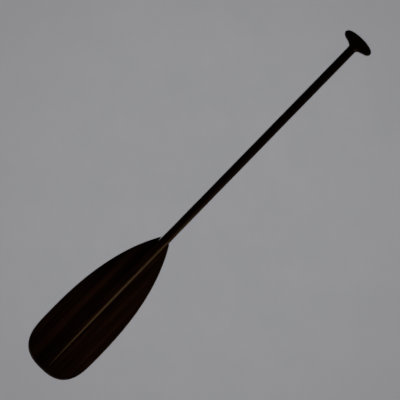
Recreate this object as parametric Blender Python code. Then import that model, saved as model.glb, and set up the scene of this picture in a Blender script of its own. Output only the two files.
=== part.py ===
"""Single-bladed laminated wooden paddle with a T-grip, lying on its back.

Seen from the front, grip up, the front face looks along +Z, the grip points along +X and the left edge
along +Y. The origin is under the middle of the paddle, on the plane that it rests on. Units are metres.

Every piece is modelled in the paddle's own coordinates: x is the distance from the blade's tip, y is
measured from the centre line and z from the middle plane. One empty carries all of them to their place.
"""
import math

import bmesh
import bpy
from mathutils import Vector
from mathutils.geometry import interpolate_bezier

# Whole paddle
PADDLE_LENGTH = 1.524
PADDLE_DEPTH = 0.031
GLUE_GAP = 0.0003

# Blade outline: a superellipse round the tip, then a long shoulder that falls away to the throat
BLADE_LENGTH = 0.590
BLADE_HALF_WIDTH = 0.1117
TIP_TO_WIDEST = 0.1590
TIP_LENGTH_EXPONENT = 3.55
TIP_WIDTH_EXPONENT = 2.50
SHOULDER_REACH = 0.7387
SHOULDER_EXPONENT = 2.303
SHOULDER_DROP = 0.2720
SHOULDER_END_ROUNDING = 0.0008

# Blade thickness, halved: beside the spine at the tip and at the throat, and along the outer edge
ROOT_HALF_AT_TIP = 0.0032
ROOT_HALF_AT_THROAT = 0.0056
EDGE_HALF = 0.0022
CROWN_EXPONENT = 3.0

# Boards of the blade, and the resin guard round its tip
STRIPS_PER_SIDE = 4
STRIP_ROWS = 18
INNER_STRIP_COLUMNS = 4
OUTER_STRIP_COLUMNS = 10
OUTER_EDGE_MARGIN = 0.00005
GUARD_DEPTH = 0.0070
GUARD_COLUMNS = 36

# Slit at the throat, where the end of the left inmost board eases away from the spine
SLIT_LENGTH = 0.027
SLIT_WIDTH = 0.0028

# Spine and shaft: half widths across the blade, half depth front to back
SPINE_HALF_WIDTH = 0.0153
SHAFT_HALF_WIDTH_AT_THROAT = 0.0148
SHAFT_HALF_WIDTH_AT_GRIP = 0.0142
THROAT_FAIRING = 0.060
SHAFT_HALF_DEPTH = PADDLE_DEPTH / 2
LAMINATION_FOOT = 0.0009
RIDGE_FADE_EXPONENT = 0.60
RIDGE_ROUNDNESS = 2.0
SHAFT_ROUNDNESS = 2.6
TIP_ROUNDNESS = 2.8
FADE_SHARPNESS = 8.0
CAP_SEGMENTS = 12
BLADE_STATIONS = 18
STATION_CROWDING = 1.5
FAIRING_STATIONS = 4
SHAFT_STATIONS = 6

# T-grip: the plan outline's knots, as depth below the crown and half width, with the handles of its curves
GRIP_HEIGHT = 0.0490
GRIP_NECK_HALF = 0.0146
NECK_HANDLE = 0.0092
GRIP_ARM_DEPTH = 0.0326
GRIP_ARM_HALF = 0.0418
ARM_HANDLE = (0.0040, -0.0133)
ARM_HANDLE_SHORTENING = 0.62
GRIP_LOBE_DEPTH = 0.0194
GRIP_LOBE_HALF = 0.0560
LOBE_HANDLE = 0.0055
CROWN_FULLNESS = 0.6
GRIP_CURVE_POINTS = 11

# T-grip's section: its middle layer, and how its rim is rounded over on the arms and at the neck
GRIP_CORE_HALF = 0.0050
ARM_ROUNDING_INSET = 0.0055
ARM_ROUNDING_HEIGHT = 0.0090
NECK_ROUNDING = 0.0120
CHEEK_ROUNDING_RINGS = 6

# Tenon on the shaft's core, and the dowel across it
TENON_LENGTH = 0.034
TENON_HALF_WIDTH = 0.0080
TENON_HALF_THICKNESS = 0.0040
DOWEL_DEPTH = 0.0440
DOWEL_RADIUS = 0.0020
DOWEL_HALF_LENGTH = 0.0163
DOWEL_SEGMENTS = 16

SHARP_ANGLE = math.radians(35.0)

for old in list(bpy.data.objects):
    bpy.data.objects.remove(old, do_unlink=True)

parts = bpy.data.collections.new("laminated_paddle")
cutters = bpy.data.collections.new("cutters")
bpy.context.scene.collection.children.link(parts)
bpy.context.scene.collection.children.link(cutters)

frame = bpy.data.objects.new("paddle_frame", None)
frame.location = (-PADDLE_LENGTH / 2, 0.0, PADDLE_DEPTH / 2)
parts.objects.link(frame)


# ---------------------------------------------------------------- materials

BLACKENED = (0.0024, 0.0014, 0.0011)
STAINED = (0.0047, 0.0014, 0.0006)
DARK = (0.0060, 0.0018, 0.0008)
MIDDLE = (0.0125, 0.0037, 0.0015)
RED = (0.0200, 0.0061, 0.0024)
HEART = (0.0300, 0.0110, 0.0048)
END_GRAIN = (0.0850, 0.0400, 0.0180)
RESIN = (0.0160, 0.0090, 0.0070)


def varnished(name, colour, roughness=0.30):
    """A material of one timber's own colour under a coat of varnish."""
    material = bpy.data.materials.new(name)
    material.use_nodes = True
    shader = material.node_tree.nodes["Principled BSDF"]
    shader.inputs["Base Color"].default_value = (*colour, 1.0)
    shader.inputs["Roughness"].default_value = roughness
    shader.inputs["Metallic"].default_value = 0.0
    return material


# ---------------------------------------------------------------- making solids

def add_part(name, bm, material):
    """Turns a finished bmesh into a named, smooth-shaded object that hangs on the paddle's frame."""
    bmesh.ops.recalc_face_normals(bm, faces=bm.faces)
    mesh = bpy.data.meshes.new(name)
    bm.to_mesh(mesh)
    bm.free()
    mesh.shade_smooth()
    mesh.set_sharp_from_angle(angle=SHARP_ANGLE)
    mesh.materials.append(material)
    part = bpy.data.objects.new(name, mesh)
    part.parent = frame
    parts.objects.link(part)
    return part


def loft(rings):
    """A closed solid through rings of equally many points: a disc whose cap is drawn from ring to ring."""
    bm = bmesh.new()
    bmesh.ops.create_circle(bm, cap_ends=True, segments=len(rings[0]), radius=1.0)
    place_in_ring = bm.verts.layers.int.new("place_in_ring")
    for number, vert in enumerate(bm.verts):
        vert[place_in_ring] = number
        vert.co = rings[0][number]
    first_cap = bm.faces[:][0]
    cap = first_cap
    for ring in rings[1:]:
        drawn = bmesh.ops.extrude_face_region(bm, geom=[cap])["geom"]
        if cap is not first_cap:
            bm.faces.remove(cap)
        cap = [item for item in drawn if isinstance(item, bmesh.types.BMFace)][0]
        for vert in cap.verts:
            vert.co = ring[vert[place_in_ring]]
    return bm


def plate(rows, columns, plan_point, half_thickness):
    """A closed plate: a grid laid out in plan, given its thickness on both sides of the middle plane."""
    bm = bmesh.new()
    bmesh.ops.create_grid(bm, x_segments=rows, y_segments=columns, size=0.5)
    for vert in bm.verts:
        x, y = plan_point(vert.co.x + 0.5, vert.co.y + 0.5)
        vert.co = (x, y, -half_thickness(x, y))
    lifted = bmesh.ops.extrude_face_region(bm, geom=bm.faces[:])["geom"]
    for item in lifted:
        if isinstance(item, bmesh.types.BMVert):
            item.co.z = -item.co.z
    return bm


def subtract(part, cutter):
    """Cuts the cutter's shape out of the part."""
    cut = part.modifiers.new("cut_" + cutter.name, "BOOLEAN")
    cut.operation = "DIFFERENCE"
    cut.object = cutter


def as_cutter(tool):
    """Moves a just-made object to the cutters' collection and hides it from the render."""
    for collection in list(tool.users_collection):
        collection.objects.unlink(tool)
    cutters.objects.link(tool)
    tool.parent = frame
    tool.display_type = "WIRE"
    tool.hide_render = True


def smooth_step(value):
    """0 to 1 with level ends."""
    value = min(max(value, 0.0), 1.0)
    return value * value * (3.0 - 2.0 * value)


# ---------------------------------------------------------------- blade

def tip_line(y):
    """Distance from the tip at which the rounded end of the blade is this far from the centre line."""
    ratio = min(abs(y) / BLADE_HALF_WIDTH, 1.0)
    reach = (1.0 - ratio ** TIP_WIDTH_EXPONENT) ** (1.0 / TIP_LENGTH_EXPONENT)
    return TIP_TO_WIDEST * (1.0 - reach)


def shoulder_line(y):
    """Distance from the tip at which the shoulder of the blade is this far from the centre line."""
    fall = 1.0 - math.exp(min(abs(y) - BLADE_HALF_WIDTH, 0.0) / SHOULDER_DROP)
    edge = TIP_TO_WIDEST + SHOULDER_REACH * fall ** (1.0 / SHOULDER_EXPONENT)
    past_end = (edge - BLADE_LENGTH) / SHOULDER_END_ROUNDING
    return edge - SHOULDER_END_ROUNDING * math.log1p(math.exp(past_end))


def half_width(x):
    """Half width of the blade at this distance from the tip."""
    if x < TIP_TO_WIDEST:
        along = min((TIP_TO_WIDEST - x) / TIP_TO_WIDEST, 1.0)
        return BLADE_HALF_WIDTH * (1.0 - along ** TIP_LENGTH_EXPONENT) ** (1.0 / TIP_WIDTH_EXPONENT)
    along = (x - TIP_TO_WIDEST) / SHOULDER_REACH
    return BLADE_HALF_WIDTH + SHOULDER_DROP * math.log(1.0 - along ** SHOULDER_EXPONENT)


def fullness(x, y):
    """1 at the middle of the blade's plan, falling to 0 along its outline."""
    if x < TIP_TO_WIDEST:
        along = min((TIP_TO_WIDEST - x) / TIP_TO_WIDEST, 1.0)
        level = along ** TIP_LENGTH_EXPONENT + (abs(y) / BLADE_HALF_WIDTH) ** TIP_WIDTH_EXPONENT
        across = min(level, 1.0) ** (1.0 / TIP_WIDTH_EXPONENT)
    else:
        across = min(abs(y) / half_width(x), 1.0)
    return 1.0 - across ** CROWN_EXPONENT


def middle_half(x):
    """Half thickness that the boards are planed to, before their edges are thinned."""
    along = min(max(x / BLADE_LENGTH, 0.0), 1.0)
    return ROOT_HALF_AT_TIP + (ROOT_HALF_AT_THROAT - ROOT_HALF_AT_TIP) * along


def blade_half(x, y):
    """Half thickness of the blade: full beside the spine, crowned down to the edge all round."""
    return EDGE_HALF + (middle_half(x) - EDGE_HALF) * fullness(x, y)


def root_half(x):
    """Half thickness of the blade beside the spine, carried on level through the throat."""
    return blade_half(x, SPINE_HALF_WIDTH) if x < TIP_TO_WIDEST else middle_half(x)


def crowd_ends(value):
    """0 to 1, with points close together at both ends."""
    return (1.0 - math.cos(math.pi * value)) / 2.0


def crowd_outer(value):
    """0 to 1, with points close together at the outer end."""
    return math.sin(math.pi / 2.0 * value)


STRIP_START = SPINE_HALF_WIDTH + GLUE_GAP / 2
STRIP_WIDTH = (BLADE_HALF_WIDTH - STRIP_START) / STRIPS_PER_SIDE
GUARD_HALF_WIDTH = BLADE_HALF_WIDTH - STRIP_WIDTH


def slit_width(x):
    """Width of the slit between the left inmost board and the spine."""
    along = min(max((x - BLADE_LENGTH) / SLIT_LENGTH + 1.0, 0.0), 1.0)
    return SLIT_WIDTH * along ** 2


def blade_strip(side, sign, number, material):
    """One board of the blade, from its tip end to the outline of the shoulder. Number 1 is the inmost."""
    outermost = number == STRIPS_PER_SIDE
    eased = side == "left" and number == 1
    inner = STRIP_START + (number - 1) * STRIP_WIDTH + GLUE_GAP / 2
    outer = STRIP_START + number * STRIP_WIDTH - (OUTER_EDGE_MARGIN if outermost else GLUE_GAP / 2)
    guard = 0.0 if outermost else GUARD_DEPTH + GLUE_GAP

    def plan_point(along, across):
        share = crowd_outer(across) if outermost else across
        y = inner + (outer - inner) * share
        start = tip_line(y) + guard
        x = start + (shoulder_line(y) - start) * crowd_ends(along)
        if eased:
            y += slit_width(x) * (1.0 - share)
            x = start + (shoulder_line(y) - start) * crowd_ends(along)
        return x, sign * y

    columns = OUTER_STRIP_COLUMNS if outermost else INNER_STRIP_COLUMNS
    board = plate(STRIP_ROWS, columns, plan_point, blade_half)
    return add_part(f"blade_{side}_strip_{number}", board, material)


def tip_guard(material):
    """The resin bead that follows the end of the blade between the two outermost boards."""
    reach = GUARD_HALF_WIDTH - GLUE_GAP / 2

    def plan_point(along, across):
        y = reach * (2.0 * across - 1.0)
        return tip_line(y) + GUARD_DEPTH * along, y

    return add_part("blade_tip_guard", plate(1, GUARD_COLUMNS, plan_point, blade_half), material)


# ---------------------------------------------------------------- shaft and spine

SPINE_START = GUARD_DEPTH + tip_line(SPINE_HALF_WIDTH) + GLUE_GAP
GRIP_JOINT = PADDLE_LENGTH - GRIP_HEIGHT
SHAFT_END = GRIP_JOINT - GLUE_GAP


def spine_half_width(x):
    """Half width of the spine on the blade, and of the shaft above it."""
    past_throat = smooth_step((x - BLADE_LENGTH) / THROAT_FAIRING)
    along_shaft = min(max((x - BLADE_LENGTH) / (GRIP_JOINT - BLADE_LENGTH), 0.0), 1.0)
    taper = SHAFT_HALF_WIDTH_AT_GRIP - SHAFT_HALF_WIDTH_AT_THROAT
    shaft = SHAFT_HALF_WIDTH_AT_THROAT + taper * along_shaft
    return SPINE_HALF_WIDTH + (shaft - SPINE_HALF_WIDTH) * past_throat


def spine_half_depth(x):
    """Half depth front to back: a ridge that rises from the tip to the full depth of the shaft."""
    along = min(max((x - SPINE_START) / (BLADE_LENGTH - SPINE_START), 0.0), 1.0)
    ridge = (SHAFT_HALF_DEPTH - ROOT_HALF_AT_THROAT) * along ** RIDGE_FADE_EXPONENT
    return root_half(x) + ridge


def core_half(x):
    """Half thickness of the middle lamination, whose faces lie a little below those of the boards."""
    return root_half(x) - LAMINATION_FOOT


def flat_half(x):
    """Half height of the spine's upright sides: those of the core on the blade, none on the oval shaft."""
    return core_half(x) * (1.0 - smooth_step((x - BLADE_LENGTH) / THROAT_FAIRING))


def roundness(x):
    """Superellipse exponent of the section: squarer at the faded end of the ridge, and on the shaft."""
    fade = 1.0 - min(x / BLADE_LENGTH, 1.0)
    ridge = RIDGE_ROUNDNESS + (TIP_ROUNDNESS - RIDGE_ROUNDNESS) * fade ** FADE_SHARPNESS
    on_shaft = smooth_step((x - BLADE_LENGTH) / (2 * THROAT_FAIRING) + 0.5)
    return ridge + (SHAFT_ROUNDNESS - ridge) * on_shaft


def section_width(x, z):
    """Half width of the spine's section at height z above the middle plane."""
    rise = max(abs(z) - flat_half(x), 0.0) / (spine_half_depth(x) - flat_half(x))
    power = roundness(x)
    return spine_half_width(x) * (1.0 - min(rise, 1.0) ** power) ** (1.0 / power)


def spine_stations():
    """Distances from the tip of the sections: close together where the ridge fades, few on the shaft."""
    stations = []
    for step in range(BLADE_STATIONS):
        share = (step / BLADE_STATIONS) ** STATION_CROWDING
        stations.append(SPINE_START + (BLADE_LENGTH - SPINE_START) * share)
    for step in range(FAIRING_STATIONS):
        stations.append(BLADE_LENGTH + THROAT_FAIRING * step / FAIRING_STATIONS)
    shaft_start = BLADE_LENGTH + THROAT_FAIRING
    for step in range(SHAFT_STATIONS + 1):
        stations.append(shaft_start + (SHAFT_END - shaft_start) * step / SHAFT_STATIONS)
    return stations


def cap_ring(x, sign):
    """Section of an outer lamination: flat on the core, round outside. Sign +1 is the front."""
    foot = core_half(x) + GLUE_GAP / 2
    flat = flat_half(x)
    depth = spine_half_depth(x) - flat
    power = roundness(x)
    first = math.asin(((foot - flat) / depth) ** (power / 2))
    ring = []
    for step in range(CAP_SEGMENTS + 1):
        angle = first + (math.pi - 2 * first) * step / CAP_SEGMENTS
        cosine = math.cos(angle)
        y = math.copysign(abs(cosine) ** (2 / power), cosine) * spine_half_width(x)
        z = flat + depth * math.sin(angle) ** (2 / power)
        ring.append(Vector((x, y, sign * z)))
    return ring


def shaft_lamination(name, sign, material):
    """An outer lamination, from the grip's neck to the feather end at the blade's tip."""
    return add_part(name, loft([cap_ring(x, sign) for x in spine_stations()]), material)


def core_ring(x):
    """Section of the middle lamination: flat on both faces, its sides on the oval of the shaft."""
    top = core_half(x) - GLUE_GAP / 2
    right = [Vector((x, section_width(x, z), z)) for z in (-top, 0.0, top)]
    left = [Vector((x, -section_width(x, z), z)) for z in (top, 0.0, -top)]
    return right + left


def tenon_ring(x):
    """Section of the tenon, with the same points as the core's section."""
    wide = TENON_HALF_WIDTH
    thick = TENON_HALF_THICKNESS
    right = [Vector((x, wide, z)) for z in (-thick, 0.0, thick)]
    left = [Vector((x, -wide, z)) for z in (thick, 0.0, -thick)]
    return right + left


def shaft_core(material):
    """The middle lamination: stringer of the blade, core of the shaft and tenon of the grip in one length."""
    rings = [core_ring(x) for x in spine_stations()]
    rings.append(tenon_ring(SHAFT_END))
    rings.append(tenon_ring(GRIP_JOINT + TENON_LENGTH))
    return add_part("shaft_core", loft(rings), material)


# ---------------------------------------------------------------- grip

def grip_outline():
    """The grip's plan, from the left side of the neck over the crown to the right side of the neck."""
    neck = Vector((GRIP_HEIGHT, GRIP_NECK_HALF))
    arm = Vector((GRIP_ARM_DEPTH, GRIP_ARM_HALF))
    lobe = Vector((GRIP_LOBE_DEPTH, GRIP_LOBE_HALF))
    crown = Vector((0.0, 0.0))
    neck_handle = Vector((-NECK_HANDLE, 0.0))
    arm_handle = Vector(ARM_HANDLE)
    lobe_handle = Vector((LOBE_HANDLE, 0.0))
    lobe_to_crown = Vector((-GRIP_LOBE_DEPTH * CROWN_FULLNESS, 0.0))
    crown_handle = Vector((0.0, GRIP_LOBE_HALF * CROWN_FULLNESS))
    curves = (
        (neck, neck + neck_handle, arm + arm_handle, arm),
        (arm, arm - arm_handle * ARM_HANDLE_SHORTENING, lobe + lobe_handle, lobe),
        (lobe, lobe + lobe_to_crown, crown + crown_handle, crown),
    )
    half = []
    for start, leaving, arriving, end in curves:
        half += interpolate_bezier(start, leaving, arriving, end, GRIP_CURVE_POINTS)[:-1]
    left = [Vector((PADDLE_LENGTH - point.x, point.y)) for point in half]
    right = [Vector((point.x, -point.y)) for point in reversed(left)]
    return left + [Vector((PADDLE_LENGTH, 0.0))] + right


def inward_normals(outline):
    """Unit vectors into the wood at each point. Those of the neck's two ends lie straight across it."""
    normals = [Vector((0.0, -1.0))]
    for before, after in zip(outline, outline[2:]):
        along = (after - before).normalized()
        normals.append(Vector((along.y, -along.x)))
    normals.append(Vector((0.0, 1.0)))
    return normals


def grip_ring(z, outline, normals):
    """The plan at height z, drawn in where the rim is rounded over: more upright and wider at the neck."""
    ring = []
    for point, normal in zip(outline, normals):
        depth = PADDLE_LENGTH - point.x
        at_neck = smooth_step((depth - GRIP_ARM_DEPTH) / (GRIP_HEIGHT - GRIP_ARM_DEPTH))
        inset = ARM_ROUNDING_INSET + (NECK_ROUNDING - ARM_ROUNDING_INSET) * at_neck
        height = ARM_ROUNDING_HEIGHT + (NECK_ROUNDING - ARM_ROUNDING_HEIGHT) * at_neck
        over = max(abs(z) - (SHAFT_HALF_DEPTH - height), 0.0) / height
        drawn_in = inset * (1.0 - math.sqrt(max(1.0 - over * over, 0.0)))
        place = point + normal * drawn_in
        ring.append(Vector((place.x, place.y, z)))
    return ring


def cheek_levels():
    """Heights of a cheek's rings, closer together towards the face, where the rim turns fastest."""
    lowest = GRIP_CORE_HALF + GLUE_GAP / 2
    rounded = SHAFT_HALF_DEPTH - lowest
    steps = CHEEK_ROUNDING_RINGS
    return [lowest + rounded * math.sin(math.pi / 2 * step / steps) for step in range(steps + 1)]


def grip_cheek(name, sign, material):
    """An outer layer of the grip, with its rim rounded over and a flat face."""
    outline = grip_outline()
    normals = inward_normals(outline)
    return add_part(name, loft([grip_ring(sign * z, outline, normals) for z in cheek_levels()]), material)


def grip_core(material):
    """The middle layer of the grip, slotted for the tenon and drilled for the dowel."""
    outline = grip_outline()
    normals = inward_normals(outline)
    top = GRIP_CORE_HALF - GLUE_GAP / 2
    return add_part("grip_core", loft([grip_ring(z, outline, normals) for z in (-top, top)]), material)


def tenon_slot():
    """Cutter for the slot in the grip's middle layer, open at the neck and on both faces."""
    length = 2 * (TENON_LENGTH + GLUE_GAP)
    past_both_faces = 4 * GRIP_CORE_HALF
    bpy.ops.mesh.primitive_cube_add(size=1.0)
    slot = bpy.context.object
    slot.name = "tenon_slot"
    slot.location = (GRIP_JOINT, 0.0, 0.0)
    slot.scale = (length, 2 * (TENON_HALF_WIDTH + GLUE_GAP), past_both_faces)
    as_cutter(slot)
    return slot


def dowel_rod(name, radius, half_length):
    """A rod across the neck, through the middle of the tenon."""
    bpy.ops.mesh.primitive_cylinder_add(vertices=DOWEL_SEGMENTS, radius=radius, depth=2 * half_length)
    rod = bpy.context.object
    rod.name = name
    rod.location = (PADDLE_LENGTH - DOWEL_DEPTH, 0.0, 0.0)
    rod.rotation_euler = (math.pi / 2, 0.0, 0.0)
    return rod


def grip_dowel(material):
    """The dowel that pins the tenon, its ends just under the sides of the neck."""
    dowel = dowel_rod("grip_dowel", DOWEL_RADIUS, DOWEL_HALF_LENGTH)
    dowel.data.shade_smooth()
    dowel.data.set_sharp_from_angle(angle=SHARP_ANGLE)
    dowel.data.materials.append(material)
    dowel.parent = frame
    for collection in list(dowel.users_collection):
        collection.objects.unlink(dowel)
    parts.objects.link(dowel)
    return dowel


# ---------------------------------------------------------------- assembly

# Each side's boards from the spine outwards: timber, and how light this length of it is
STRIP_TIMBERS = {
    "right": ((MIDDLE, 0.80), (RED, 0.42), (MIDDLE, 1.05), (RED, 0.58)),
    "left": ((DARK, 0.55), (RED, 0.92), (DARK, 0.66), (MIDDLE, 0.70)),
}

for side_name, side_sign in (("right", -1), ("left", 1)):
    for strip_number, (timber, lightness) in enumerate(STRIP_TIMBERS[side_name], start=1):
        colour = tuple(channel * lightness for channel in timber)
        strip_wood = varnished(f"{side_name}_board_{strip_number}", colour)
        blade_strip(side_name, side_sign, strip_number, strip_wood)

tip_guard(varnished("tip_resin", RESIN, roughness=0.22))

core = shaft_core(varnished("core_timber", HEART))
shaft_lamination("shaft_front_lamination", 1, varnished("front_timber", STAINED))
shaft_lamination("shaft_back_lamination", -1, varnished("back_timber", STAINED))

grip_middle = grip_core(varnished("grip_core_timber", HEART))
grip_cheek("grip_front_cheek", 1, varnished("grip_front_timber", BLACKENED))
grip_cheek("grip_back_cheek", -1, varnished("grip_back_timber", BLACKENED))
grip_dowel(varnished("dowel_timber", END_GRAIN, roughness=0.45))

slot_cutter = tenon_slot()
hole_cutter = dowel_rod("dowel_hole", DOWEL_RADIUS + GLUE_GAP, 2 * DOWEL_HALF_LENGTH)
as_cutter(hole_cutter)
subtract(grip_middle, slot_cutter)
subtract(grip_middle, hole_cutter)
subtract(core, hole_cutter)
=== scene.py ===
"""Looks of the laminated paddle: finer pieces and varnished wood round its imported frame. Units are metres.

The paddle lies on its back: +X runs up the shaft to the grip, +Y to the left edge and +Z out of the front.
Plan points are (distance from the blade's tip, distance from the centre line), as the shape is designed.
"""
import math

import bmesh
import bpy
from mathutils import Matrix, Vector
from mathutils.geometry import interpolate_bezier


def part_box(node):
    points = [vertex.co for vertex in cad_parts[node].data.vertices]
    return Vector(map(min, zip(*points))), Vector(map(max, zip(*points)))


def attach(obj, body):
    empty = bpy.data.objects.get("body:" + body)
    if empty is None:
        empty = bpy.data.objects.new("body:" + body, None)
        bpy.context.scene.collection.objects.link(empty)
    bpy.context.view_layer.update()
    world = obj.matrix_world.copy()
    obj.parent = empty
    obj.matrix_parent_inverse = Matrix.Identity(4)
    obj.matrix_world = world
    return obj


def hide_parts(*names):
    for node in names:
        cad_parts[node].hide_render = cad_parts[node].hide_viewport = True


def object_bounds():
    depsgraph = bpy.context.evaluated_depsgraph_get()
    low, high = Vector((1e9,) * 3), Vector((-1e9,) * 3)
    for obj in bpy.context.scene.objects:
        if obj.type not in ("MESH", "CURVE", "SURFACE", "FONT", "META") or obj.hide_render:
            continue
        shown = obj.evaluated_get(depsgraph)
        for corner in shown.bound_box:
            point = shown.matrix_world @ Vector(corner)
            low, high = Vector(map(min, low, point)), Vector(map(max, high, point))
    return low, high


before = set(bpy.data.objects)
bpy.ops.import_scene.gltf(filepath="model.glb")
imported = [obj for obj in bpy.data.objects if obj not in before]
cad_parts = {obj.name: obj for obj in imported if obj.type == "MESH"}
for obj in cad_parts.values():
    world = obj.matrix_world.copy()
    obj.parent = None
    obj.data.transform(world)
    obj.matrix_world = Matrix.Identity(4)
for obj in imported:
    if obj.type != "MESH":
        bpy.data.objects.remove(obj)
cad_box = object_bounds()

# ---------------------------------------------------------------- sizes read from the frame

LOW, HIGH = cad_box
TIP_X = LOW.x
LENGTH = HIGH.x - LOW.x
MIDDLE_Z = (LOW.z + HIGH.z) / 2
HALF_DEPTH = (HIGH.z - LOW.z) / 2

BOARDS_PER_SIDE = 4
BOARD_EDGES = [
    (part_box(f"blade_left_strip_{number}")[0].y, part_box(f"blade_left_strip_{number}")[1].y)
    for number in range(1, BOARDS_PER_SIDE + 1)
]
HALF_WIDTH = BOARD_EDGES[-1][1]
GLUE_GAP = BOARD_EDGES[1][0] - BOARD_EDGES[0][1]
SPINE_HALF_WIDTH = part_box("shaft_core")[1].y
SPINE_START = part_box("shaft_front_lamination")[0].x - TIP_X
GRIP_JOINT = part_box("grip_front_cheek")[0].x - TIP_X
GRIP_HEIGHT = LENGTH - GRIP_JOINT
GRIP_LOBE_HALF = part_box("grip_front_cheek")[1].y
GRIP_CORE_HALF = (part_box("grip_core")[1].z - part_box("grip_core")[0].z) / 2
TENON_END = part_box("shaft_core")[1].x - TIP_X
DOWEL_LOW, DOWEL_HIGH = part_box("grip_dowel")

# ---------------------------------------------------------------- shape of the design

# Blade outline: a superellipse round the tip, then a long shoulder that falls away to the throat
BLADE_LENGTH = 0.590
TIP_TO_WIDEST = 0.1590
TIP_LENGTH_EXPONENT = 3.55
TIP_WIDTH_EXPONENT = 2.50
SHOULDER_REACH = 0.7387
SHOULDER_EXPONENT = 2.303
SHOULDER_DROP = 0.2720
SHOULDER_END_ROUNDING = 0.0008

# Slit at the throat, where the end of the left inmost board eases away from the spine
SLIT_LENGTH = 0.027
SLIT_WIDTH = 0.0028

# Blade thickness, halved
ROOT_HALF_AT_TIP = 0.0032
ROOT_HALF_AT_THROAT = 0.0056
EDGE_HALF = 0.0022
CROWN_EXPONENT = 3.0
GUARD_DEPTH = 0.0070

# Spine and shaft
SHAFT_HALF_WIDTH_AT_THROAT = 0.0148
SHAFT_HALF_WIDTH_AT_GRIP = 0.0142
THROAT_FAIRING = 0.060
LAMINATION_FOOT = 0.0009
RIDGE_FADE_EXPONENT = 0.60
RIDGE_ROUNDNESS = 2.0
SHAFT_ROUNDNESS = 2.6
TIP_ROUNDNESS = 2.8
FADE_SHARPNESS = 8.0

# T-grip: the plan outline's knots, as depth below the crown and half width, with the handles of its curves
GRIP_NECK_HALF = 0.0146
NECK_HANDLE = 0.0092
GRIP_ARM_DEPTH = 0.0326
GRIP_ARM_HALF = 0.0418
ARM_HANDLE = (0.0040, -0.0133)
ARM_HANDLE_SHORTENING = 0.62
GRIP_LOBE_DEPTH = 0.0194
LOBE_HANDLE = 0.0055
CROWN_FULLNESS = 0.6

# T-grip's section: how its rim is rounded over on the arms and at the neck
ARM_ROUNDING_INSET = 0.0055
ARM_ROUNDING_HEIGHT = 0.0090
NECK_ROUNDING = 0.0120
ACROSS_NECK = (0.0, -1.0)

# Tenon on the shaft's core, in the slot of the grip
TENON_HALF_WIDTH = 0.0080
TENON_HALF_THICKNESS = 0.0040

# Closeness of the joints between finished pieces, and how far a cutter reaches past what it cuts
JOINT = 0.00001
CUTTER_REACH = 0.02
SHARP_ANGLE = math.radians(32.0)

# ---------------------------------------------------------------- how the wood looks

# How closely each pattern in the wood is packed along and across the grain, per metre
STREAKS = (2.6, 70.0, 70.0)
FIBRES = (14.0, 1500.0, 1500.0)
CLOUDS = (2.2, 9.0, 9.0)
PORES = (85.0, 2600.0, 2600.0)
SCRATCHES = (9.0, 1300.0, 300.0)
GRAIN_DRIFT = (0.9, 5.0, 5.0)
RINGS_PER_METRE = 300.0

# How far each board is shifted through the patterns for each step of its seed, and how deep its pith lies
SEED_SHIFT = (0.731, 0.057, 0.041)
PITH_DEPTH = 0.06

# Places along the paddle, from its middle: painted shade at the tip, wood blackened by the hand, scratched
SHADED_TIP = (-0.61, -0.75)
BLACKENED_END = (0.25, 0.66)
SCRATCHED_TIP = (-0.42, -0.70)

# Roughness of the varnish: glossy on the blade and the shaft, dulled by the hand on the grip
GLOSSY = 0.24
SATIN = 0.38
EDGE_WEAR = 0.5
# How far in from the outline the edge wear and the painted shade along the edge reach
EDGE_WEAR_AND_SHADE_REACH = 0.022


# ---------------------------------------------------------------- nodes of the materials

class Nodes:
    """A short way to write a material's node tree: each call adds one node and returns its output."""

    def __init__(self, name):
        self.material = bpy.data.materials.new(name)
        self.material.use_nodes = True
        self.tree = self.material.node_tree
        self.shader = self.tree.nodes["Principled BSDF"]

    def add(self, kind, output=0, settings=None, **inputs):
        node = self.tree.nodes.new("ShaderNode" + kind)
        for key, value in (settings or {}).items():
            setattr(node, key, value)
        for key, value in inputs.items():
            self.feed(node, int(key[1:]) if key[1:].isdigit() else key.replace("_", " "), value)
        return node.outputs[output]

    def feed(self, node, key, value):
        if isinstance(value, bpy.types.NodeSocket):
            self.tree.links.new(value, node.inputs[key])
        else:
            node.inputs[key].default_value = value

    def math(self, operation, first, second=0.0, clamp=False):
        return self.add("Math", settings={"operation": operation, "use_clamp": clamp}, _0=first, _1=second)

    def vector(self, operation, first, second=(0.0, 0.0, 0.0)):
        output = 1 if operation in ("LENGTH", "DISTANCE") else 0
        return self.add("VectorMath", output, {"operation": operation}, _0=first, _1=second)

    def noise(self, place, scale, detail=2.0, roughness=0.5):
        return self.add("TexNoise", Vector=place, Scale=scale, Detail=detail, Roughness=roughness)

    def span(self, value, from_low, from_high, to_low=0.0, to_high=1.0):
        settings = {"interpolation_type": "SMOOTHSTEP"}
        return self.add("MapRange", 0, settings, _0=value, _1=from_low, _2=from_high, _3=to_low, _4=to_high)

    def mix(self, share, first, second):
        settings = {"data_type": "RGBA"}
        return self.add("Mix", 2, settings, _0=share, _6=first, _7=second)

    def ramp(self, value, stops):
        node = self.tree.nodes.new("ShaderNodeValToRGB")
        elements = node.color_ramp.elements
        while len(elements) < len(stops):
            elements.new(0.5)
        for element, (position, colour) in zip(elements, stops):
            element.position = position
            element.color = (*colour, 1.0)
        self.tree.links.new(value, node.inputs[0])
        return node.outputs[0]

    def finish(self, **inputs):
        for key, value in inputs.items():
            self.feed(self.shader, key.replace("_", " "), value)
        return self.material


def scaled(colour, factor):
    """The colour made lighter or darker."""
    return tuple(channel * factor for channel in colour)


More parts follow.
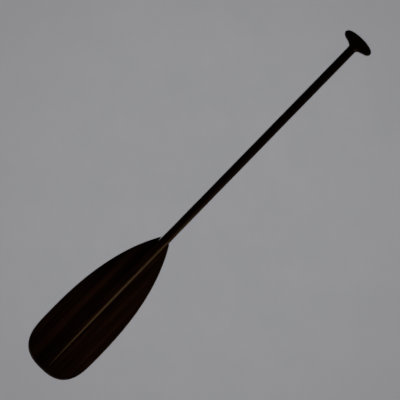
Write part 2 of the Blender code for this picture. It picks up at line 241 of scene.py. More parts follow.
def wood(name, colour, seed, across_grip=False, gloss=GLOSSY, wear=0.0, handled_and_shaded=(0.0, 1.0, 0.0), seams=None):
    """Varnished wood: growth rings sawn through at the board's own slant, streaks, fibres and pores.

    Across the grip the grain runs from arm to arm. A board can be worn along the blade's edge, is darker
    towards the seams at its sides, and has painted shade along the blade's edge. All wood has painted shade
    towards the tip and is blackened at the grip. One setting darkens a stretch along the paddle: a hand stain
    on the shaft, painted shade at the throat end of the boards. It says where that darkening starts, where it
    is deepest, and how deep it is.
    """
    n = Nodes(name)
    place = n.add("TexCoord", 3)
    parts = n.tree.nodes.new("ShaderNodeSeparateXYZ")
    n.tree.links.new(place, parts.inputs[0])
    stain_and_shade_start, stain_and_shade_end, stain_and_shade_depth = handled_and_shaded
    hand_stain_and_shade = n.span(parts.outputs[0], stain_and_shade_start, stain_and_shade_end, 0.0, stain_and_shade_depth)
    if across_grip:
        place = n.add("CombineXYZ", X=parts.outputs[1], Y=parts.outputs[0], Z=parts.outputs[2])

    # How this length was sawn: the grain's own slant, place and drift, and the rings round its pith
    slant = 0.012 * math.sin(seed * 2.4)
    shift_x, shift_y, shift_z = scaled(SEED_SHIFT, seed)
    place = n.add("Mapping", Vector=place, Location=(shift_x, shift_y, shift_z),
                  Rotation=(0.0, 0.5 * slant, slant))
    drift = n.add("TexNoise", 1, Vector=n.vector("MULTIPLY", place, GRAIN_DRIFT), Scale=1.0, Detail=2.0)
    drift = n.vector("MULTIPLY", n.vector("SUBTRACT", drift, (0.5, 0.5, 0.5)), (0.0, 0.045, 0.045))
    warped = n.vector("ADD", place, drift)
    pith = (0.0, shift_y + 0.02 * math.cos(seed * 1.7), shift_z - PITH_DEPTH)
    from_pith = n.vector("MULTIPLY", n.vector("SUBTRACT", warped, pith), (0.0, 1.0, 1.0))
    ring = n.math("FRACT", n.math("MULTIPLY", n.vector("LENGTH", from_pith), RINGS_PER_METRE))
    late_wood = n.math("MULTIPLY", n.span(ring, 0.25, 0.88), n.span(ring, 1.0, 0.93))

    # Streaks, fibres, broad clouds and open pores
    streak = n.noise(n.vector("MULTIPLY", place, STREAKS), 1.0, 4.0, 0.62)
    fibre = n.noise(n.vector("MULTIPLY", place, FIBRES), 1.0, 3.0, 0.6)
    cloud = n.noise(n.vector("MULTIPLY", place, CLOUDS), 1.0, 2.0, 0.5)
    pore = n.noise(n.vector("MULTIPLY", place, PORES), 1.0, 1.0, 0.5)
    pore = n.span(pore, 0.60, 0.70)

    # Colour of the clean wood
    tone = n.math("ADD", n.math("MULTIPLY", streak, 0.55), n.math("MULTIPLY", cloud, 0.30))
    tone = n.math("ADD", tone, n.math("MULTIPLY", fibre, 0.15))
    tone = n.math("SUBTRACT", tone, n.math("MULTIPLY", late_wood, 0.10))
    red, green, blue = colour
    base = n.ramp(tone, (
        (0.34, (red * 0.25, green * 0.22, blue * 0.21)),
        (0.43, (red * 0.62, green * 0.59, blue * 0.58)),
        (0.49, (red * 1.10, green * 1.06, blue * 1.04)),
        (0.60, (red * 2.30, green * 2.40, blue * 2.40)),
    ))
    base = n.mix(n.math("MULTIPLY", pore, 0.45), base, (*scaled(colour, 0.30), 1.0))

    # Darkening: stains towards the seams and at the blackened grip end; painted shade at the tip, along the
    # edge and at the boards' throat; a hand stain on the shaft
    if seams:
        inner, outer = seams
        width = outer - inner
        off_middle = n.math("SUBTRACT", n.math("ABSOLUTE", parts.outputs[1]), (inner + outer) / 2)
        seam = n.span(n.math("ABSOLUTE", off_middle), 0.12 * width, 0.5 * width, 0.0, 0.42)
        base = n.mix(seam, base, (*scaled(colour, 0.25), 1.0))
    # Painted shade: darker towards the tip, where the light falls off along the blade
    tip_shade = n.span(parts.outputs[0], *SHADED_TIP, 0.0, 0.55)
    blackened = n.span(parts.outputs[0], *BLACKENED_END, 0.0, 0.65)
    base = n.mix(n.math("ADD", tip_shade, blackened), base, (*scaled(colour, 0.2), 1.0))
    # Hand stain on the shaft; on the boards this is painted shade at the throat end, where the ridge shades
    # them
    base = n.mix(hand_stain_and_shade, base, (*scaled(colour, 0.2), 1.0))
    # Painted shade along the blade's outline, where its rounded edge falls into shadow; the same nearness
    # also drives the wear below
    edge = n.add("Attribute", 2, {"attribute_name": "edge"})
    base = n.mix(n.math("MULTIPLY", edge, 0.65), base, (*scaled(colour, 0.25), 1.0))

    # Wear: the edge knocked bare in places, and scratches, both mostly near the tip
    knocks = n.math("MULTIPLY", n.noise(place, 34.0, 4.0, 0.65), n.noise(place, 420.0, 2.0, 0.6))
    near_tip = n.span(parts.outputs[0], *SCRATCHED_TIP, 0.25, 1.0)
    worn = n.math("MULTIPLY", n.span(edge, 0.84, 1.0), n.span(knocks, 0.24, 0.36))
    worn = n.math("MULTIPLY", worn, n.math("MULTIPLY", near_tip, wear), clamp=True)
    scratch = n.noise(n.vector("MULTIPLY", warped, SCRATCHES), 1.0, 0.0)
    scratch = n.math("MULTIPLY", n.span(scratch, 0.70, 0.76), near_tip)
    base = n.mix(worn, base, (red * 2.6 + 0.03, green * 2.8 + 0.02, blue * 3.0 + 0.012, 1.0))

    # Relief of the wood, and the film of varnish over it, which sinks into the open grain
    roughness = n.math("ADD", n.span(fibre, 0.3, 0.7, 0.40, 0.56), n.math("MULTIPLY", worn, 0.3))
    roughness = n.math("ADD", roughness, n.math("MULTIPLY", scratch, 0.15))
    relief = n.math("SUBTRACT", n.math("MULTIPLY", fibre, 0.6), n.math("ADD", pore, scratch))
    bump = n.add("Bump", Strength=0.22, Distance=0.00006, Height=relief)
    sheen = gloss * (1.0 + 0.22 * math.sin(seed * 1.9))
    film = n.math("MULTIPLY", n.noise(place, 260.0, 2.0, 0.5), 0.4)
    sunken_grain = n.math("ADD", pore, n.math("MULTIPLY", late_wood, 0.5))
    film = n.math("SUBTRACT", film, n.math("MULTIPLY", sunken_grain, n.span(cloud, 0.35, 0.65, 0.35, 1.0)))
    film_bump = n.add("Bump", Strength=0.16, Distance=0.00006, Height=film)
    return n.finish(
        Base_Color=base, Roughness=roughness, Normal=bump, Coat_Normal=film_bump,
        Coat_Weight=0.55, Coat_Roughness=sheen, Coat_IOR=1.45,
        Specular_IOR_Level=0.2, Specular_Tint=(1.0, 0.62, 0.28, 1.0),
    )


def resin(name, colour):
    """Cast resin with pigment swirls, fine scuffs and knocks along its edge."""
    n = Nodes(name)
    place = n.add("TexCoord", 3)
    swirl = n.noise(place, 45.0, 4.0, 0.6)
    base = n.ramp(swirl, ((0.35, scaled(colour, 0.6)), (0.55, colour), (0.75, scaled(colour, 1.9))))
    scuff = n.noise(n.vector("MULTIPLY", place, (900.0, 260.0, 500.0)), 1.0, 3.0, 0.7)
    knock = n.span(n.noise(place, 210.0, 2.0, 0.5), 0.58, 0.70)
    base = n.mix(n.math("MULTIPLY", knock, 0.35), base, (*scaled(colour, 3.2), 1.0))
    bump = n.add("Bump", Strength=0.3, Distance=0.0001, Height=n.math("SUBTRACT", scuff, knock))
    return n.finish(Base_Color=base, Roughness=n.span(scuff, 0.3, 0.7, 0.24, 0.50), Normal=bump)


def end_grain(name, colour):
    """The sawn end of a dowel: rings round its own middle and open pores."""
    n = Nodes(name)
    place = n.add("TexCoord", 3)
    pores = n.noise(place, 2600.0, 2.0, 0.6)
    rings = n.add("TexWave", 1, {"wave_type": "RINGS", "rings_direction": "Y"}, Vector=place, Scale=420.0,
                  Distortion=2.0, Detail=2.0)
    tone = n.math("ADD", n.math("MULTIPLY", pores, 0.6), n.math("MULTIPLY", rings, 0.4))
    base = n.ramp(tone, ((0.3, scaled(colour, 0.5)), (0.5, colour), (0.7, scaled(colour, 1.6))))
    bump = n.add("Bump", Strength=0.2, Distance=0.0001, Height=pores)
    return n.finish(Base_Color=base, Roughness=n.span(pores, 0.3, 0.7, 0.38, 0.55), Normal=bump,
                    Coat_Weight=0.5, Coat_Roughness=0.2)


# ---------------------------------------------------------------- making pieces

def at_place(x, y, z):
    """A point of the design, in the frame."""
    return Vector((TIP_X + x, y, MIDDLE_Z + z))


def new_object(name, bm):
    """Turns a bmesh into an object."""
    bmesh.ops.recalc_face_normals(bm, faces=bm.faces)
    mesh = bpy.data.meshes.new(name)
    bm.to_mesh(mesh)
    bm.free()
    thing = bpy.data.objects.new(name, mesh)
    bpy.context.scene.collection.objects.link(thing)
    return thing


def combine(thing, operation, *cutters):
    """Applies Boolean steps to an object's mesh."""
    for cutter in cutters:
        step = thing.modifiers.new("cut", "BOOLEAN")
        step.operation = operation
        step.object = cutter
        bpy.context.view_layer.update()
        depsgraph = bpy.context.evaluated_depsgraph_get()
        cut_mesh = bpy.data.meshes.new_from_object(thing.evaluated_get(depsgraph))
        thing.modifiers.clear()
        thing.data = cut_mesh


def discard(*things):
    """Removes working objects."""
    for thing in things:
        bpy.data.objects.remove(thing, do_unlink=True)


def dress(thing, material, node):
    """Shades a finished piece, gives it its material and sets it in place of its CAD node."""
    thing.data.materials.clear()
    thing.data.materials.append(material)
    thing.data.shade_smooth()
    thing.data.set_sharp_from_angle(angle=SHARP_ANGLE)
    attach(thing, "root")
    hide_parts(node)
    return thing


def loft(rings):
    """A closed solid through rings of equally many points: a disc whose cap is drawn from ring to ring."""
    bm = bmesh.new()
    bmesh.ops.create_circle(bm, cap_ends=True, segments=len(rings[0]), radius=1.0)
    place_in_ring = bm.verts.layers.int.new("place_in_ring")
    for number, vert in enumerate(bm.verts):
        vert[place_in_ring] = number
        vert.co = rings[0][number]
    first_cap = bm.faces[:][0]
    cap = first_cap
    for ring in rings[1:]:
        drawn = bmesh.ops.extrude_face_region(bm, geom=[cap])["geom"]
        if cap is not first_cap:
            bm.faces.remove(cap)
        cap = [item for item in drawn if isinstance(item, bmesh.types.BMFace)][0]
        for vert in cap.verts:
            vert.co = ring[vert[place_in_ring]]
    return bm


def prism(name, rows, columns, plan_point, half_thickness):
    """A closed plate of even thickness over a plan laid out by rows and columns."""
    bm = bmesh.new()
    bmesh.ops.create_grid(bm, x_segments=rows, y_segments=columns, size=0.5)
    for vert in bm.verts:
        x, y = plan_point(vert.co.x + 0.5, vert.co.y + 0.5)
        vert.co = at_place(x, y, -half_thickness)
    lifted = bmesh.ops.extrude_face_region(bm, geom=bm.faces[:])["geom"]
    for item in lifted:
        if isinstance(item, bmesh.types.BMVert):
            item.co.z += 2.0 * half_thickness
    return new_object(name, bm)


def smooth_step(value):
    """0 to 1 with level ends."""
    value = min(max(value, 0.0), 1.0)
    return value * value * (3.0 - 2.0 * value)


def between(low, high, share):
    """The value at this share of the way from low to high."""
    return low + (high - low) * share


# ---------------------------------------------------------------- blade

def tip_line(y):
    """Distance from the tip at which the rounded end of the blade is this far from the centre line."""
    ratio = min(abs(y) / HALF_WIDTH, 1.0)
    return TIP_TO_WIDEST * (1.0 - (1.0 - ratio ** TIP_WIDTH_EXPONENT) ** (1.0 / TIP_LENGTH_EXPONENT))


def shoulder_line(y):
    """Distance from the tip at which the shoulder of the blade is this far from the centre line."""
    fall = 1.0 - math.exp(min(abs(y) - HALF_WIDTH, 0.0) / SHOULDER_DROP)
    edge = TIP_TO_WIDEST + SHOULDER_REACH * fall ** (1.0 / SHOULDER_EXPONENT)
    past_end = (edge - BLADE_LENGTH) / SHOULDER_END_ROUNDING
    return edge - SHOULDER_END_ROUNDING * math.log1p(math.exp(past_end))


def half_width(x):
    """Half width of the blade at this distance from the tip."""
    if x < TIP_TO_WIDEST:
        along = min((TIP_TO_WIDEST - x) / TIP_TO_WIDEST, 1.0)
        return HALF_WIDTH * (1.0 - along ** TIP_LENGTH_EXPONENT) ** (1.0 / TIP_WIDTH_EXPONENT)
    along = (x - TIP_TO_WIDEST) / SHOULDER_REACH
    return HALF_WIDTH + SHOULDER_DROP * math.log(1.0 - along ** SHOULDER_EXPONENT)


def fullness(x, y):
    """1 at the middle of the blade's plan, falling to 0 along its outline."""
    if x < TIP_TO_WIDEST:
        along = min((TIP_TO_WIDEST - x) / TIP_TO_WIDEST, 1.0)
        level = along ** TIP_LENGTH_EXPONENT + (abs(y) / HALF_WIDTH) ** TIP_WIDTH_EXPONENT
        across = min(level, 1.0) ** (1.0 / TIP_WIDTH_EXPONENT)
    else:
        across = min(abs(y) / half_width(x), 1.0)
    return 1.0 - across ** CROWN_EXPONENT


def middle_half(x):
    """Half thickness that the boards are planed to, before their edges are thinned."""
    return between(ROOT_HALF_AT_TIP, ROOT_HALF_AT_THROAT, min(max(x / BLADE_LENGTH, 0.0), 1.0))


def blade_half(x, y):
    """Half thickness of the blade: full beside the spine, crowned down to the edge all round."""
    return EDGE_HALF + (middle_half(x) - EDGE_HALF) * fullness(x, y)


def blade_outline():
    """Points round the left half of the blade, from the middle of the tip to the middle of the throat."""
    tip_points, shoulder_points, end_points = 56, 72, 18
    end_half = 0.030
    end_x = shoulder_line(end_half)
    points = []
    for step in range(tip_points):
        angle = math.pi / 2 * step / tip_points
        y = HALF_WIDTH * math.sin(angle) ** (2.0 / TIP_WIDTH_EXPONENT)
        points.append(Vector((tip_line(y), y)))
    for step in range(shoulder_points):
        x = between(TIP_TO_WIDEST, end_x, step / shoulder_points)
        points.append(Vector((x, half_width(x))))
    for step in range(end_points + 1):
        y = end_half * (1.0 - step / end_points)
        points.append(Vector((shoulder_line(y), y)))
    return points


def inward_normals(points, first):
    """Unit vectors into the wood at each point of an outline. The last is opposite to the first."""
    normals = [Vector(first)]
    for before, after in zip(points, points[2:]):
        along = (after - before).normalized()
        normals.append(Vector((along.y, -along.x)))
    normals.append(-Vector(first))
    return normals


def blade_blank():
    """The whole blade in one piece: rounded edge, crowned faces, and a gap left under the spine."""
    rim_steps, face_steps = 7, 14
    rim = EDGE_HALF
    points = blade_outline()
    normals = inward_normals(points, (1.0, 0.0))
    gap_half, gap_start, gap_end = 0.0006, 0.030, 0.560

    def half_ring(share, inset, height_share):
        ring = []
        for point, normal in zip(points, normals):
            edge = point + normal * inset
            middle_x = between(gap_start, gap_end, min(max(point.x / BLADE_LENGTH, 0.0), 1.0))
            middle = Vector((middle_x, gap_half))
            place = edge.lerp(middle, share)
            ring.append((place.x, place.y, blade_half(place.x, place.y) * height_share))
        return ring

    levels = []
    for step in range(rim_steps):
        angle = math.pi / 2 * step / rim_steps
        levels.append(half_ring(0.0, rim * (1.0 - math.cos(angle)), math.sin(angle)))
    for step in range(face_steps + 1):
        levels.append(half_ring(step / face_steps, rim, 1.0))

    def whole_ring(level, side):
        left = [at_place(x, y, side * z) for x, y, z in level]
        right = [at_place(x, -y, side * z) for x, y, z in reversed(level[1:-1])]
        return left + right

    rings = [whole_ring(level, -1) for level in reversed(levels)]
    rings += [whole_ring(level, 1) for level in levels[1:]]
    return new_object("blade_blank", loft(rings))


def mark_edge(thing, reach):
    """Stores how near each point lies to the blade's outline, for the wear of its edge and the painted shade
    along it.
    """
    layer = thing.data.attributes.new("edge", "FLOAT", "POINT")
    for vert, value in zip(thing.data.vertices, layer.data):
        x = vert.co.x - TIP_X
        y = abs(vert.co.y)
        if x < TIP_TO_WIDEST:
            gap = min(x - tip_line(y), shoulder_line(y) - x)
        else:
            gap = half_width(min(x, BLADE_LENGTH)) - y
        value.value = 1.0 - smooth_step(gap / reach)


def slit_width(x):
    """Width of the slit between the left inmost board and the spine."""
    along = min(max((x - BLADE_LENGTH) / SLIT_LENGTH + 1.0, 0.0), 1.0)
    return SLIT_WIDTH * along ** 2


def blade_board(blank, side, sign, number, material):
    """One board of the blade, cut out of the blank between its glue lines."""
    outermost = number == BOARDS_PER_SIDE
    eased = side == "left" and number == 1
    inner, outer = BOARD_EDGES[number - 1]
    inner -= GLUE_GAP / 2 - JOINT
    outer += GLUE_GAP / 2 - JOINT
    if number == 1:
        inner = SPINE_HALF_WIDTH + JOINT
    if outermost:
        outer += CUTTER_REACH
    past_throat = BLADE_LENGTH + CUTTER_REACH

    def plan_point(along, across):
        y = between(inner, outer, across)
        start = -CUTTER_REACH if outermost else tip_line(y) + GUARD_DEPTH + JOINT
        x = between(start, past_throat, 1.0 - (1.0 - along) ** 2)
        if eased:
            y += slit_width(x) * (1.0 - across)
        return x, sign * y

    cutter = prism("cutter", 60 if eased else 1, 16, plan_point, CUTTER_REACH)
    board = blank.copy()
    board.data = blank.data.copy()
    board.name = f"{side}_board_{number}"
    bpy.context.scene.collection.objects.link(board)
    combine(board, "INTERSECT", cutter)
    discard(cutter)
    mark_edge(board, EDGE_WEAR_AND_SHADE_REACH)
    return dress(board, material, f"blade_{side}_strip_{number}")


def tip_guard(blank, material):
    """The resin bead round the end of the blade, cut out of the same blank."""
    reach = BOARD_EDGES[-1][0] - GLUE_GAP + JOINT

    def plan_point(along, across):
        y = reach * (2.0 * across - 1.0)
        return between(-CUTTER_REACH, tip_line(y) + GUARD_DEPTH, along), y

    cutter = prism("cutter", 1, 96, plan_point, CUTTER_REACH)
    guard = blank.copy()
    guard.data = blank.data.copy()
    guard.name = "tip_guard"
    bpy.context.scene.collection.objects.link(guard)
    combine(guard, "INTERSECT", cutter)
    discard(cutter)
    return dress(guard, material, "blade_tip_guard")


# ---------------------------------------------------------------- shaft and spine

def root_half(x):
    """Half thickness of the blade beside the spine, carried on level through the throat."""
    return blade_half(x, SPINE_HALF_WIDTH) if x < TIP_TO_WIDEST else middle_half(x)


def spine_half_width(x):
    """Half width of the spine on the blade, and of the shaft above it."""
    past_throat = smooth_step((x - BLADE_LENGTH) / THROAT_FAIRING)
    along_shaft = min(max((x - BLADE_LENGTH) / (GRIP_JOINT - BLADE_LENGTH), 0.0), 1.0)
    shaft = between(SHAFT_HALF_WIDTH_AT_THROAT, SHAFT_HALF_WIDTH_AT_GRIP, along_shaft)
    return between(SPINE_HALF_WIDTH, shaft, past_throat)


def spine_half_depth(x):
    """Half depth front to back: a ridge that rises from the tip to the full depth of the shaft."""
    along = min(max((x - SPINE_START) / (BLADE_LENGTH - SPINE_START), 0.0), 1.0)
    return root_half(x) + (HALF_DEPTH - ROOT_HALF_AT_THROAT) * along ** RIDGE_FADE_EXPONENT


def core_half(x):
    """Half thickness of the middle lamination."""
    return root_half(x) - LAMINATION_FOOT


def flat_half(x):
    """Half height of the spine's upright sides: those of the core on the blade, none on the oval shaft."""
    return core_half(x) * (1.0 - smooth_step((x - BLADE_LENGTH) / THROAT_FAIRING))


def roundness(x):
    """Superellipse exponent of the section: squarer at the faded end of the ridge, and on the shaft."""
    fade = 1.0 - min(x / BLADE_LENGTH, 1.0)
    ridge = RIDGE_ROUNDNESS + (TIP_ROUNDNESS - RIDGE_ROUNDNESS) * fade ** FADE_SHARPNESS
    on_shaft = smooth_step((x - BLADE_LENGTH) / (2 * THROAT_FAIRING) + 0.5)
    return between(ridge, SHAFT_ROUNDNESS, on_shaft)


def section_width(x, z):
    """Half width of the spine's section at height z above the middle plane."""
    rise = max(abs(z) - flat_half(x), 0.0) / (spine_half_depth(x) - flat_half(x))
    power = roundness(x)
    return spine_half_width(x) * (1.0 - min(rise, 1.0) ** power) ** (1.0 / power)


def spine_stations():
    """Distances from the tip of the sections, closest where the ridge fades out."""
    blade_steps, blade_crowding = 60, 1.4
    shaft_steps, shaft_crowding = 40, 1.5
    on_blade = [(step / blade_steps) ** blade_crowding for step in range(blade_steps)]
    on_shaft = [(step / shaft_steps) ** shaft_crowding for step in range(shaft_steps + 1)]
    stations = [between(SPINE_START, BLADE_LENGTH, share) for share in on_blade]
    return stations + [between(BLADE_LENGTH, GRIP_JOINT - JOINT, share) for share in on_shaft]


def cap_ring(x, sign):
    """Section of an outer lamination: flat on the core, round outside. Sign +1 is the front."""
    segments = 36
    foot = core_half(x) + JOINT / 2
    flat = flat_half(x)
    depth = spine_half_depth(x) - flat
    power = roundness(x)
    first = math.asin(((foot - flat) / depth) ** (power / 2))
    ring = []
    for step in range(segments + 1):
        angle = between(first, math.pi - first, step / segments)
        cosine = math.cos(angle)
        y = math.copysign(abs(cosine) ** (2 / power), cosine) * spine_half_width(x)
        z = flat + depth * math.sin(angle) ** (2 / power)
        ring.append(at_place(x, y, sign * z))
    return ring


def shaft_lamination(name, sign, node, material):
    """An outer lamination, from the grip's neck to the feather end at the blade's tip."""
    piece = new_object(name, loft([cap_ring(x, sign) for x in spine_stations()]))
    return dress(piece, material, node)


def side_ring(x, top, width_at):
    """A closed section with flat faces at +-top whose sides are this wide at each height."""
    heights = [top * level / 4 for level in range(-4, 5)]
    right = [at_place(x, width_at(z), z) for z in heights]
    left = [at_place(x, -width_at(z), z) for z in reversed(heights)]
    return right + left


def shaft_core(material):
    """The middle lamination: stringer of the blade, core of the shaft and tenon of the grip in one length."""
    rings = [
        side_ring(x, core_half(x) - JOINT / 2, lambda z, x=x: section_width(x, z))
        for x in spine_stations()
    ]
    for x in (GRIP_JOINT - JOINT, TENON_END):
        rings.append(side_ring(x, TENON_HALF_THICKNESS, lambda z: TENON_HALF_WIDTH))
    return dress(new_object("core_lamination", loft(rings)), material, "shaft_core")


# ---------------------------------------------------------------- grip

def grip_outline():
    """The grip's plan, from the left side of the neck over the crown to the right side of the neck."""
    points_per_curve = 30
    neck = Vector((GRIP_HEIGHT, GRIP_NECK_HALF))
    arm = Vector((GRIP_ARM_DEPTH, GRIP_ARM_HALF))
    lobe = Vector((GRIP_LOBE_DEPTH, GRIP_LOBE_HALF))
    crown = Vector((0.0, 0.0))
    neck_handle = Vector((-NECK_HANDLE, 0.0))
    arm_handle = Vector(ARM_HANDLE)
    lobe_handle = Vector((LOBE_HANDLE, 0.0))
    lobe_to_crown = Vector((-GRIP_LOBE_DEPTH * CROWN_FULLNESS, 0.0))
    crown_handle = Vector((0.0, GRIP_LOBE_HALF * CROWN_FULLNESS))
    curves = (
        (neck, neck + neck_handle, arm + arm_handle, arm),
        (arm, arm - arm_handle * ARM_HANDLE_SHORTENING, lobe + lobe_handle, lobe),
        (lobe, lobe + lobe_to_crown, crown + crown_handle, crown),
    )
    half = []
    for start, leaving, arriving, end in curves:
        half += interpolate_bezier(start, leaving, arriving, end, points_per_curve)[:-1]
    left = [Vector((LENGTH - point.x, point.y)) for point in half]
    right = [Vector((point.x, -point.y)) for point in reversed(left)]
    return left + [Vector((LENGTH, 0.0))] + right


def grip_ring(sign, height, outline, normals):
    """The plan at one height, drawn in where the rim is rounded over: more upright and wider at the neck."""
    ring = []
    for point, normal in zip(outline, normals):
        depth = LENGTH - point.x
        at_neck = smooth_step((depth - GRIP_ARM_DEPTH) / (GRIP_HEIGHT - GRIP_ARM_DEPTH))
        inset = between(ARM_ROUNDING_INSET, NECK_ROUNDING, at_neck)
        rounding = between(ARM_ROUNDING_HEIGHT, NECK_ROUNDING, at_neck)
        over = max(height - (HALF_DEPTH - rounding), 0.0) / rounding
        place = point + normal * (inset * (1.0 - math.sqrt(max(1.0 - over * over, 0.0))))
        ring.append(at_place(place.x, place.y, sign * height))
    return ring


def grip_cheek(name, sign, node, material):
    """An outer layer of the grip, with its rim rounded over and a flat face."""
    outline = grip_outline()
    normals = inward_normals(outline, ACROSS_NECK)
    lowest = GRIP_CORE_HALF + JOINT / 2
    rim_rings = 16
    rings = []
    for step in range(rim_rings + 1):
        height = between(lowest, HALF_DEPTH, math.sin(math.pi / 2 * step / rim_rings))
        rings.append(grip_ring(sign, height, outline, normals))
    piece = new_object(name, loft(rings))
    return dress(piece, material, node)


def grip_core(material):
    """The middle layer of the grip, slotted for the tenon and drilled for the dowel, and the dowel itself."""
    outline = grip_outline()
    normals = inward_normals(outline, ACROSS_NECK)
    top = GRIP_CORE_HALF - JOINT / 2
    solid = loft([grip_ring(1, z, outline, normals) for z in (-top, 0.0, top)])
    core = new_object("grip_middle", solid)
    whole = core.copy()
    whole.data = core.data.copy()
    bpy.context.scene.collection.objects.link(whole)

    def slot_plan(along, across):
        x = between(GRIP_JOINT - CUTTER_REACH, TENON_END + JOINT, along)
        return x, (TENON_HALF_WIDTH + JOINT) * (2 * across - 1)

    slot = prism("slot", 1, 1, slot_plan, CUTTER_REACH)
    middle = (DOWEL_LOW + DOWEL_HIGH) / 2
    radius = (DOWEL_HIGH.x - DOWEL_LOW.x) / 2
    rod_length = 0.06

    def rod(name, rod_radius):
        bm = bmesh.new()
        turn = Matrix.Translation(middle) @ Matrix.Rotation(math.pi / 2, 4, "X")
        bmesh.ops.create_cone(bm, cap_ends=True, segments=32, radius1=rod_radius, radius2=rod_radius,
                              depth=rod_length, matrix=turn)
        return new_object(name, bm)

    hole = rod("hole", radius + JOINT)
    combine(core, "DIFFERENCE", slot, hole)
    dowel = rod("neck_dowel", radius)
    combine(dowel, "INTERSECT", whole)
    discard(slot, hole, whole)
    dress(dowel, end_grain("dowel_end_grain", END_GRAIN), "grip_dowel")
    return dress(core, material, "grip_core")


# ---------------------------------------------------------------- timbers

BLACKENED = (0.0024, 0.0014, 0.0011)
STAINED = (0.0047, 0.0014, 0.0006)
DARK = (0.0060, 0.0018, 0.0008)
MIDDLE = (0.0125, 0.0037, 0.0015)
RED = (0.0200, 0.0061, 0.0024)
HEART = (0.0300, 0.0110, 0.0048)
END_GRAIN = (0.0850, 0.0400, 0.0180)
RESIN = (0.0160, 0.0090, 0.0070)

# Each side's boards from the spine outwards: timber, how light this length of it is, slot
BOARD_TIMBERS = {
    "right": ((MIDDLE, 0.80, "board_mid"), (RED, 0.42, "board_red"), (MIDDLE, 1.05, "board_mid"),
              (RED, 0.58, "board_red")),
    "left": ((DARK, 0.55, "board_dark"), (RED, 0.92, "board_red"), (DARK, 0.66, "board_dark"),
             (MIDDLE, 0.70, "board_mid")),
}
# Where and how deeply painted shade darkens the throat end of each side's boards: the ridge's shade, deepest
# on the left
THROAT_SHADE = {"right": (-0.48, -0.25, 0.35), "left": (-0.48, -0.27, 0.90)}
# Where and how deeply the hand has stained the shaft's outer laminations and its core
SHAFT_STAIN = (-0.28, 0.05, 0.75)
CORE_STAIN = (-0.15, 0.45, 0.3)


def build_blade():
    blank = blade_blank()
    for side, sign in (("right", -1), ("left", 1)):
        for number, (timber, lightness, slot) in enumerate(BOARD_TIMBERS[side], start=1):
            seed = number * 1.37 + (5.2 if side == "left" else 0.0)
            colour = scaled(timber, lightness)
            material = wood(f"{side}_board_{number}_timber", colour, seed, wear=EDGE_WEAR,
                            handled_and_shaded=THROAT_SHADE[side], seams=BOARD_EDGES[number - 1])
            blade_board(blank, side, sign, number, material)
    tip_guard(blank, resin("guard_resin", RESIN))
    discard(blank)


def build_shaft():
    shaft_core(wood("core_lamination_timber", HEART, 11.3, handled_and_shaded=CORE_STAIN))
    front = wood("front_lamination_timber", STAINED, 12.9, handled_and_shaded=SHAFT_STAIN)
    shaft_lamination("front_lamination", 1, "shaft_front_lamination", front)
    back = wood("back_lamination_timber", STAINED, 14.1, handled_and_shaded=SHAFT_STAIN)
    shaft_lamination("back_lamination", -1, "shaft_back_lamination", back)


def build_grip():
    front = wood("grip_front_timber", BLACKENED, 16.7, across_grip=True, gloss=SATIN)
    grip_cheek("grip_front", 1, "grip_front_cheek", front)
    back = wood("grip_back_timber", BLACKENED, 17.9, across_grip=True, gloss=SATIN)
    grip_cheek("grip_back", -1, "grip_back_cheek", back)
    grip_core(wood("grip_middle_timber", HEART, 19.2, across_grip=True, gloss=SATIN))


# ---------------------------------------------------------------- studio

FLOOR_HALF = 120.0
FRAME_WIDTH = 1.3247
CAMERA_LENS = 200.0
CAMERA_SENSOR = 36.0
PADDLE_SLANT = math.radians(45.70)


def build_floor():
    """A pale, faintly mottled floor under the paddle, with painted shade that darkens it towards its edges.
    """
    bm = bmesh.new()
    bmesh.ops.create_grid(bm, x_segments=8, y_segments=8, size=FLOOR_HALF)
    floor = new_object("floor", bm)
    n = Nodes("floor_paper")
    place = n.add("TexCoord", 3)
    mottle = n.noise(place, 5.0, 6.0, 0.68)
    base = n.ramp(mottle, ((0.3, (0.760, 0.760, 0.790)), (0.7, (0.811, 0.803, 0.832))))
    # Painted shade: the floor darkens away from the middle as if the light fell off there
    outwards = n.span(n.vector("LENGTH", place), 0.35, 1.30, 0.0, 1.0)
    base = n.mix(outwards, base, (0.690, 0.684, 0.716, 1.0))
    floor.data.materials.append(n.finish(Base_Color=base, Roughness=0.9, Specular_IOR_Level=0.1))
    floor.visible_glossy = False


DAYLIGHT = (0.985, 0.990, 1.0)
AMBER = (1.0, 0.62, 0.28)
WARM = (1.0, 0.61, 0.36)


def lamp(name, kind, place, target, energy, colour, diffuse, glossy):
    """A light aimed at a target, seen in diffuse light, in reflections or in both."""
    light = bpy.data.lights.new(name, kind)
    light.energy = energy
    light.color = colour
    holder = bpy.data.objects.new(name, light)
    holder.location = place
    holder.rotation_euler = (Vector(target) - Vector(place)).to_track_quat("-Z", "Y").to_euler()
    holder.visible_camera = False
    holder.visible_diffuse = diffuse
    holder.visible_glossy = glossy
    bpy.context.scene.collection.objects.link(holder)
    return light


def soft_box(name, place, target, size, energy, colour, diffuse, glossy, lean=0.0):
    """A rectangular light. Its top leans over to the left, seen from behind it, by this angle."""
    light = lamp(name, "AREA", place, target, energy, colour, diffuse, glossy)
    light.shape = "RECTANGLE"
    light.size, light.size_y = size
    bpy.data.objects[name].rotation_euler.rotate_axis("Z", lean)


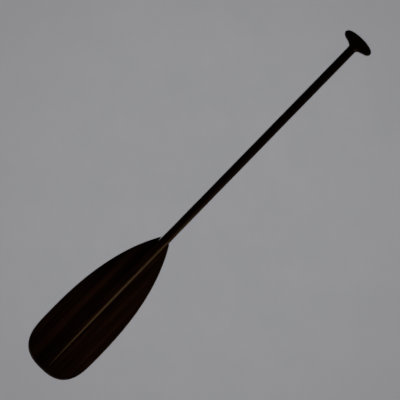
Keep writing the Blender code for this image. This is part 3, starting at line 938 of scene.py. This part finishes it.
def build_lights():
    """Even light from overhead, and warm boxes that only the varnish mirrors.

    The low box shows in the right flank of the ridge when the front is seen from straight above. The two
    walls show in the faces when they are seen from lower down.
    """
    sky = lamp("sky", "SUN", (0.0, 0.0, 5.0), (0.0, 0.0, 0.0), 0.95, (0.985, 0.992, 1.0),
               diffuse=True, glossy=False)
    sky.angle = math.radians(10.0)
    soft_box("ceiling", (0.0, 0.0, 4.2), (0.0, 0.0, 0.0), (0.6, 0.6), 13.3, DAYLIGHT,
             diffuse=True, glossy=False)
    soft_box("low_box", (-0.59, -2.4, 1.45), (-0.43, 0.0, 0.0), (0.54, 3.0), 10.8, AMBER,
             diffuse=False, glossy=True, lean=math.radians(14.0))
    soft_box("blade_wall", (-3.6, 3.0, 1.9), (-0.3, 0.0, 0.0), (1.7, 0.9), 4.8, WARM,
             diffuse=False, glossy=True)
    soft_box("grip_wall", (3.0, -3.6, 1.3), (-0.1, 0.0, 0.0), (2.6, 0.8), 5.2, WARM,
             diffuse=False, glossy=True)


def build_room():
    """The dark room that the varnish mirrors, with a warm glow low on its right, and a pale backdrop."""
    world = bpy.data.worlds.new("room")
    bpy.context.scene.world = world
    world.use_nodes = True
    tree = world.node_tree
    tree.nodes.clear()
    output = tree.nodes.new("ShaderNodeOutputWorld")
    path = tree.nodes.new("ShaderNodeLightPath")
    place = tree.nodes.new("ShaderNodeTexCoord")
    axes = tree.nodes.new("ShaderNodeSeparateXYZ")
    tree.links.new(place.outputs["Generated"], axes.inputs[0])

    def fade(axis, start, end, low, high):
        step = tree.nodes.new("ShaderNodeMapRange")
        step.interpolation_type = "SMOOTHSTEP"
        for socket, value in zip(("From Min", "From Max", "To Min", "To Max"), (start, end, low, high)):
            step.inputs[socket].default_value = value
        tree.links.new(axes.outputs[axis], step.inputs["Value"])
        return step.outputs[0]

    def times(first, second):
        step = tree.nodes.new("ShaderNodeMath")
        step.operation = "MULTIPLY"
        tree.links.new(first, step.inputs[0])
        tree.links.new(second, step.inputs[1])
        return step.outputs[0]

    walls = tree.nodes.new("ShaderNodeBackground")
    above_floor = fade("Z", -0.10, 0.0, 0.0, 1.0)
    tree.links.new(times(fade("Z", 0.02, 0.16, 0.12, 0.003), above_floor), walls.inputs["Strength"])
    glow = tree.nodes.new("ShaderNodeBackground")
    glow.inputs["Color"].default_value = (1.0, 0.72, 0.55, 1.0)
    lit_side = times(fade("Y", -0.1, -0.6, 0.0, 0.17), fade("X", 0.09, -0.03, 0.0, 1.0))
    near_floor = times(fade("Z", 0.25, 0.0, 0.0, 1.0), above_floor)
    tree.links.new(times(lit_side, near_floor), glow.inputs["Strength"])
    around = tree.nodes.new("ShaderNodeAddShader")
    tree.links.new(walls.outputs[0], around.inputs[0])
    tree.links.new(glow.outputs[0], around.inputs[1])
    backdrop = tree.nodes.new("ShaderNodeBackground")
    backdrop.inputs["Color"].default_value = (0.965, 0.975, 1.0, 1.0)
    backdrop.inputs["Strength"].default_value = 0.213
    mix = tree.nodes.new("ShaderNodeMixShader")
    tree.links.new(path.outputs["Is Camera Ray"], mix.inputs["Fac"])
    tree.links.new(around.outputs[0], mix.inputs[1])
    tree.links.new(backdrop.outputs[0], mix.inputs[2])
    tree.links.new(mix.outputs[0], output.inputs["Surface"])


def build_camera():
    """Looks straight down on the paddle's front, turned so that the shaft climbs to the upper right."""
    right = Vector((math.cos(PADDLE_SLANT), -math.sin(PADDLE_SLANT), 0.0))
    up = Vector((math.sin(PADDLE_SLANT), math.cos(PADDLE_SLANT), 0.0))
    back = Vector((0.0, 0.0, 1.0))
    middle = (LOW + HIGH) / 2
    paddle_right_of_centre = 0.0045
    paddle_below_centre = 0.0117
    distance = FRAME_WIDTH * CAMERA_LENS / CAMERA_SENSOR
    place = middle - right * paddle_right_of_centre + up * paddle_below_centre + back * distance
    data = bpy.data.cameras.new("camera")
    data.lens = CAMERA_LENS
    data.sensor_width = CAMERA_SENSOR
    data.clip_end = 500.0
    camera = bpy.data.objects.new("camera", data)
    turned = Matrix((right, up, back)).transposed().to_4x4()
    camera.matrix_world = Matrix.Translation(place) @ turned
    bpy.context.scene.collection.objects.link(camera)
    bpy.context.scene.camera = camera
    bpy.context.scene.view_settings.view_transform = "Standard"


build_camera()
build_blade()
build_shaft()
build_grip()
build_floor()
build_lights()
build_room()
